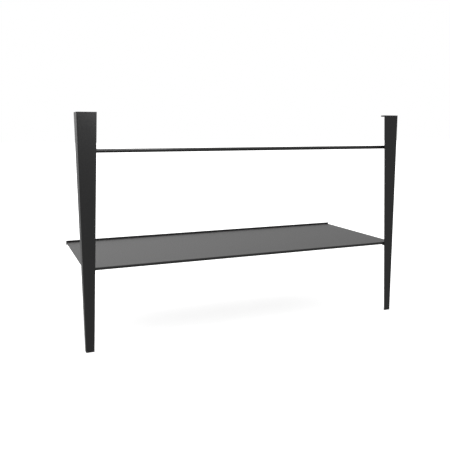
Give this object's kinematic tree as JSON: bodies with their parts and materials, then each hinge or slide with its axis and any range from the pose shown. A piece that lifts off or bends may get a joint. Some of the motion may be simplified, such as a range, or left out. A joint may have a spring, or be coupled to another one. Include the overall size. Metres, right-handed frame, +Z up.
{
  "type": "counter underframe with shelf",
  "caption": "Black steel counter underframe: tapered L-section front legs, a round cross rail, a thin folded shelf and a back bar with tabs that are screwed to a wall.",
  "frame": {"origin": "the middle wall screw hole, where it meets the wall's face, 232.5 mm above the floor", "axes": "+X along the width, -Y to the front and +Y into the wall, +Z up"},
  "size_m": [1.193, 0.456, 0.735],
  "materials": {
    "powder_coat": "black fine-texture powder coat on folded steel, matt, bright at grazing angles",
    "zinc_plate": "bright zinc plate",
    "foot_plastic": "moulded black plastic"
  },
  "bodies": {
    "frame": {"left_leg": "powder_coat", "right_leg": "powder_coat", "left_top_plate": "powder_coat", "right_top_plate": "powder_coat", "cross_rail": "powder_coat", "left_shelf_support": "powder_coat", "right_shelf_support": "powder_coat", "shelf_panel": "powder_coat", "back_bar": "powder_coat", "left_rib": "powder_coat", "middle_rib": "powder_coat", "right_rib": "powder_coat", "left_wall_tab": "powder_coat", "middle_wall_tab": "powder_coat", "right_wall_tab": "powder_coat", "left_foot_plate": "powder_coat", "right_foot_plate": "powder_coat", "left_shelf_screw": "zinc_plate", "right_shelf_screw": "zinc_plate", "left_shelf_nut": "zinc_plate", "right_shelf_nut": "zinc_plate", "left_lock_nut": "zinc_plate", "right_lock_nut": "zinc_plate"},
    "left_foot": {"left_foot_stud": "zinc_plate", "left_foot_pad": "foot_plastic"},
    "right_foot": {"right_foot_stud": "zinc_plate", "right_foot_pad": "foot_plastic"}
  },
  "joints": [
    {"name": "left_foot_level", "type": "slide", "parent": "frame", "child": "left_foot", "axis": [0, 0, -1], "range_m": [0, 0.012]},
    {"name": "right_foot_level", "type": "slide", "parent": "frame", "child": "right_foot", "axis": [0, 0, -1], "range_m": [0, 0.012]}
  ]
}
